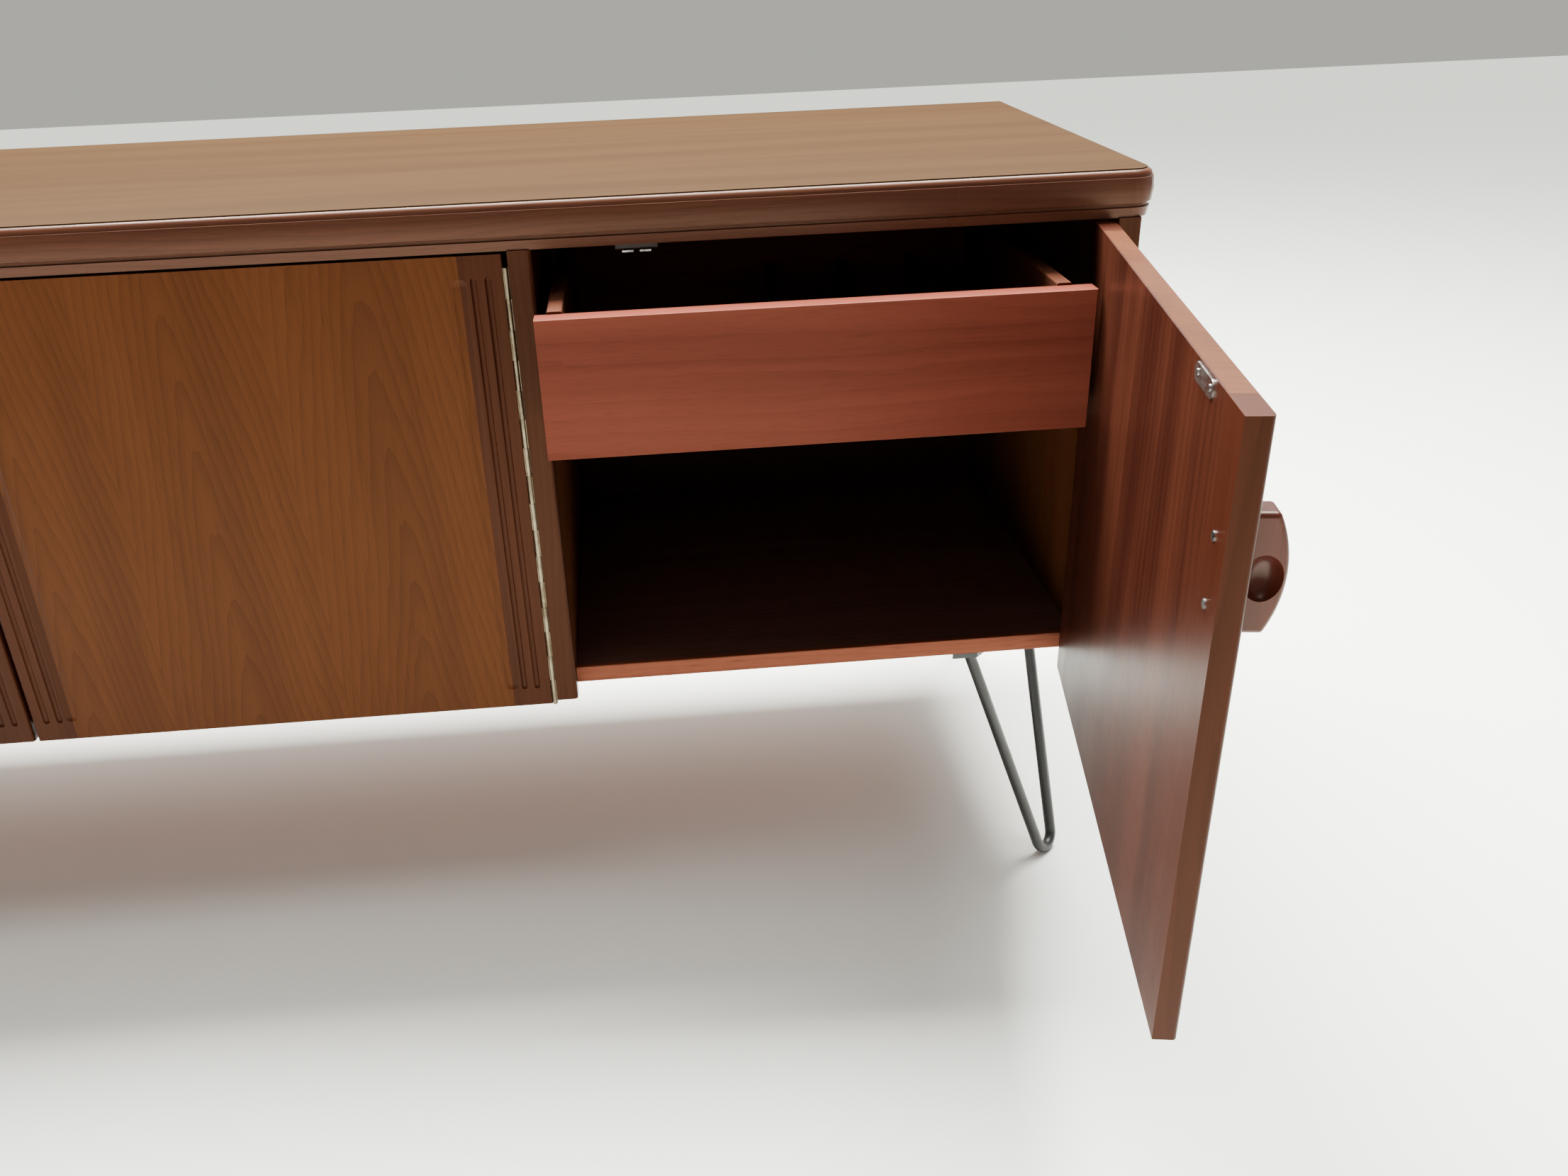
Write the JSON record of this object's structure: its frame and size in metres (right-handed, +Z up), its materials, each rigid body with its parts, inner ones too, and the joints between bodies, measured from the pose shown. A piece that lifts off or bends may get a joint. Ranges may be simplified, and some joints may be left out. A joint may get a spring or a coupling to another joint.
{
  "type": "sideboard",
  "caption": "Long low sideboard: deep rounded top edge, four hinged doors with reeded stiles and scooped handles, a divided drawer and bent-rod legs",
  "frame": {"origin": "centre of the rest-pose bounding box in plan, at floor level", "axes": "+X along the length to the right seen from the front, +Y to the back, +Z up"},
  "size_m": [1.986, 0.9252, 0.681],
  "materials": {
    "top_veneer": "satin straight-grained teak veneer",
    "dark_moulding": "satin dark solid teak",
    "softwood_frame": "plain planed softwood",
    "carcass_veneer": "satin dark teak veneer",
    "solid_teak": "satin solid teak",
    "hardboard": "smooth brown hardboard",
    "blued_steel": "black oxide",
    "bright_steel": "zinc plated",
    "brass": "satin",
    "catch_plastic": "dark brown moulded plastic",
    "black_steel": "satin black powder coat",
    "drawer_teak": "satin teak",
    "door_veneer": "satin teak veneer with cathedral grain",
    "reeded_teak": "satin dark teak",
    "handle_teak": "polished solid teak"
  },
  "bodies": {
    "carcass": {"top_panel": "top_veneer", "top_moulding_front": "dark_moulding", "top_moulding_ends": "dark_moulding", "top_rails": "softwood_frame", "top_battens": "softwood_frame", "end_panel_right": "carcass_veneer", "end_panel_left": "carcass_veneer", "partition_right": "carcass_veneer", "partition_left": "carcass_veneer", "posts": "solid_teak", "end_lippings": "solid_teak", "bottom_panel": "carcass_veneer", "bottom_lipping": "solid_teak", "back_panel": "hardboard", "back_panel_nails": "blued_steel", "shelf_centre": "carcass_veneer", "shelf_left": "carcass_veneer", "shelf_pegs": "bright_steel", "hinge_frame_leaves": "brass", "hinge_pins": "brass", "hinge_frame_screws": "brass", "catch_housings": "catch_plastic", "catch_tabs": "bright_steel", "drawer_runners": "carcass_veneer", "hairpin_leg_front_right": "black_steel", "hairpin_leg_back_right": "black_steel", "hairpin_leg_front_left": "black_steel", "hairpin_leg_back_left": "black_steel", "leg_plates": "black_steel", "leg_screws": "blued_steel"},
    "drawer": {"drawer_front": "drawer_teak", "drawer_side_left": "drawer_teak", "drawer_side_right": "drawer_teak", "drawer_back": "softwood_frame", "drawer_bottom": "hardboard", "drawer_dividers": "drawer_teak"},
    "right_door": {"right_door_panel": "door_veneer", "right_door_stiles": "reeded_teak", "right_door_handle": "handle_teak", "right_door_hinge_leaf": "brass", "right_door_strike_plate": "bright_steel", "right_door_screws": "bright_steel"},
    "centre_right_door": {"centre_right_door_panel": "door_veneer", "centre_right_door_stiles": "reeded_teak", "centre_right_door_handle": "handle_teak", "centre_right_door_hinge_leaf": "brass", "centre_right_door_strike_plate": "bright_steel", "centre_right_door_screws": "bright_steel"},
    "centre_left_door": {"centre_left_door_panel": "door_veneer", "centre_left_door_stiles": "reeded_teak", "centre_left_door_handle": "handle_teak", "centre_left_door_hinge_leaf": "brass", "centre_left_door_strike_plate": "bright_steel", "centre_left_door_screws": "bright_steel"},
    "left_door": {"left_door_panel": "door_veneer", "left_door_stiles": "reeded_teak", "left_door_handle": "handle_teak", "left_door_hinge_leaf": "brass", "left_door_strike_plate": "bright_steel", "left_door_screws": "bright_steel"}
  },
  "joints": [
    {"name": "right_door_hinge", "type": "hinge", "parent": "carcass", "child": "right_door", "pos_m": [0.95875, -0.00395, 0.4295], "axis": [0, 0, 1], "range_deg": [-80, 70]},
    {"name": "centre_right_door_hinge", "type": "hinge", "parent": "carcass", "child": "centre_right_door", "pos_m": [0.46875, -0.00395, 0.4295], "axis": [0, 0, 1], "range_deg": [0, 95]},
    {"name": "centre_left_door_hinge", "type": "hinge", "parent": "carcass", "child": "centre_left_door", "pos_m": [-0.46875, -0.00395, 0.4295], "axis": [0, 0, -1], "range_deg": [0, 95]},
    {"name": "left_door_hinge", "type": "hinge", "parent": "carcass", "child": "left_door", "pos_m": [-0.95875, -0.00395, 0.4295], "axis": [0, 0, -1], "range_deg": [0, 150]},
    {"name": "drawer_slide", "type": "slide", "parent": "carcass", "child": "drawer", "axis": [0, -1, 0], "range_m": [-0.1803, 0.1578]}
  ],
  "couplings": [
    {"joint": "drawer_slide", "follows": "right_door_hinge", "m_per_rad": 0.12892}
  ]
}
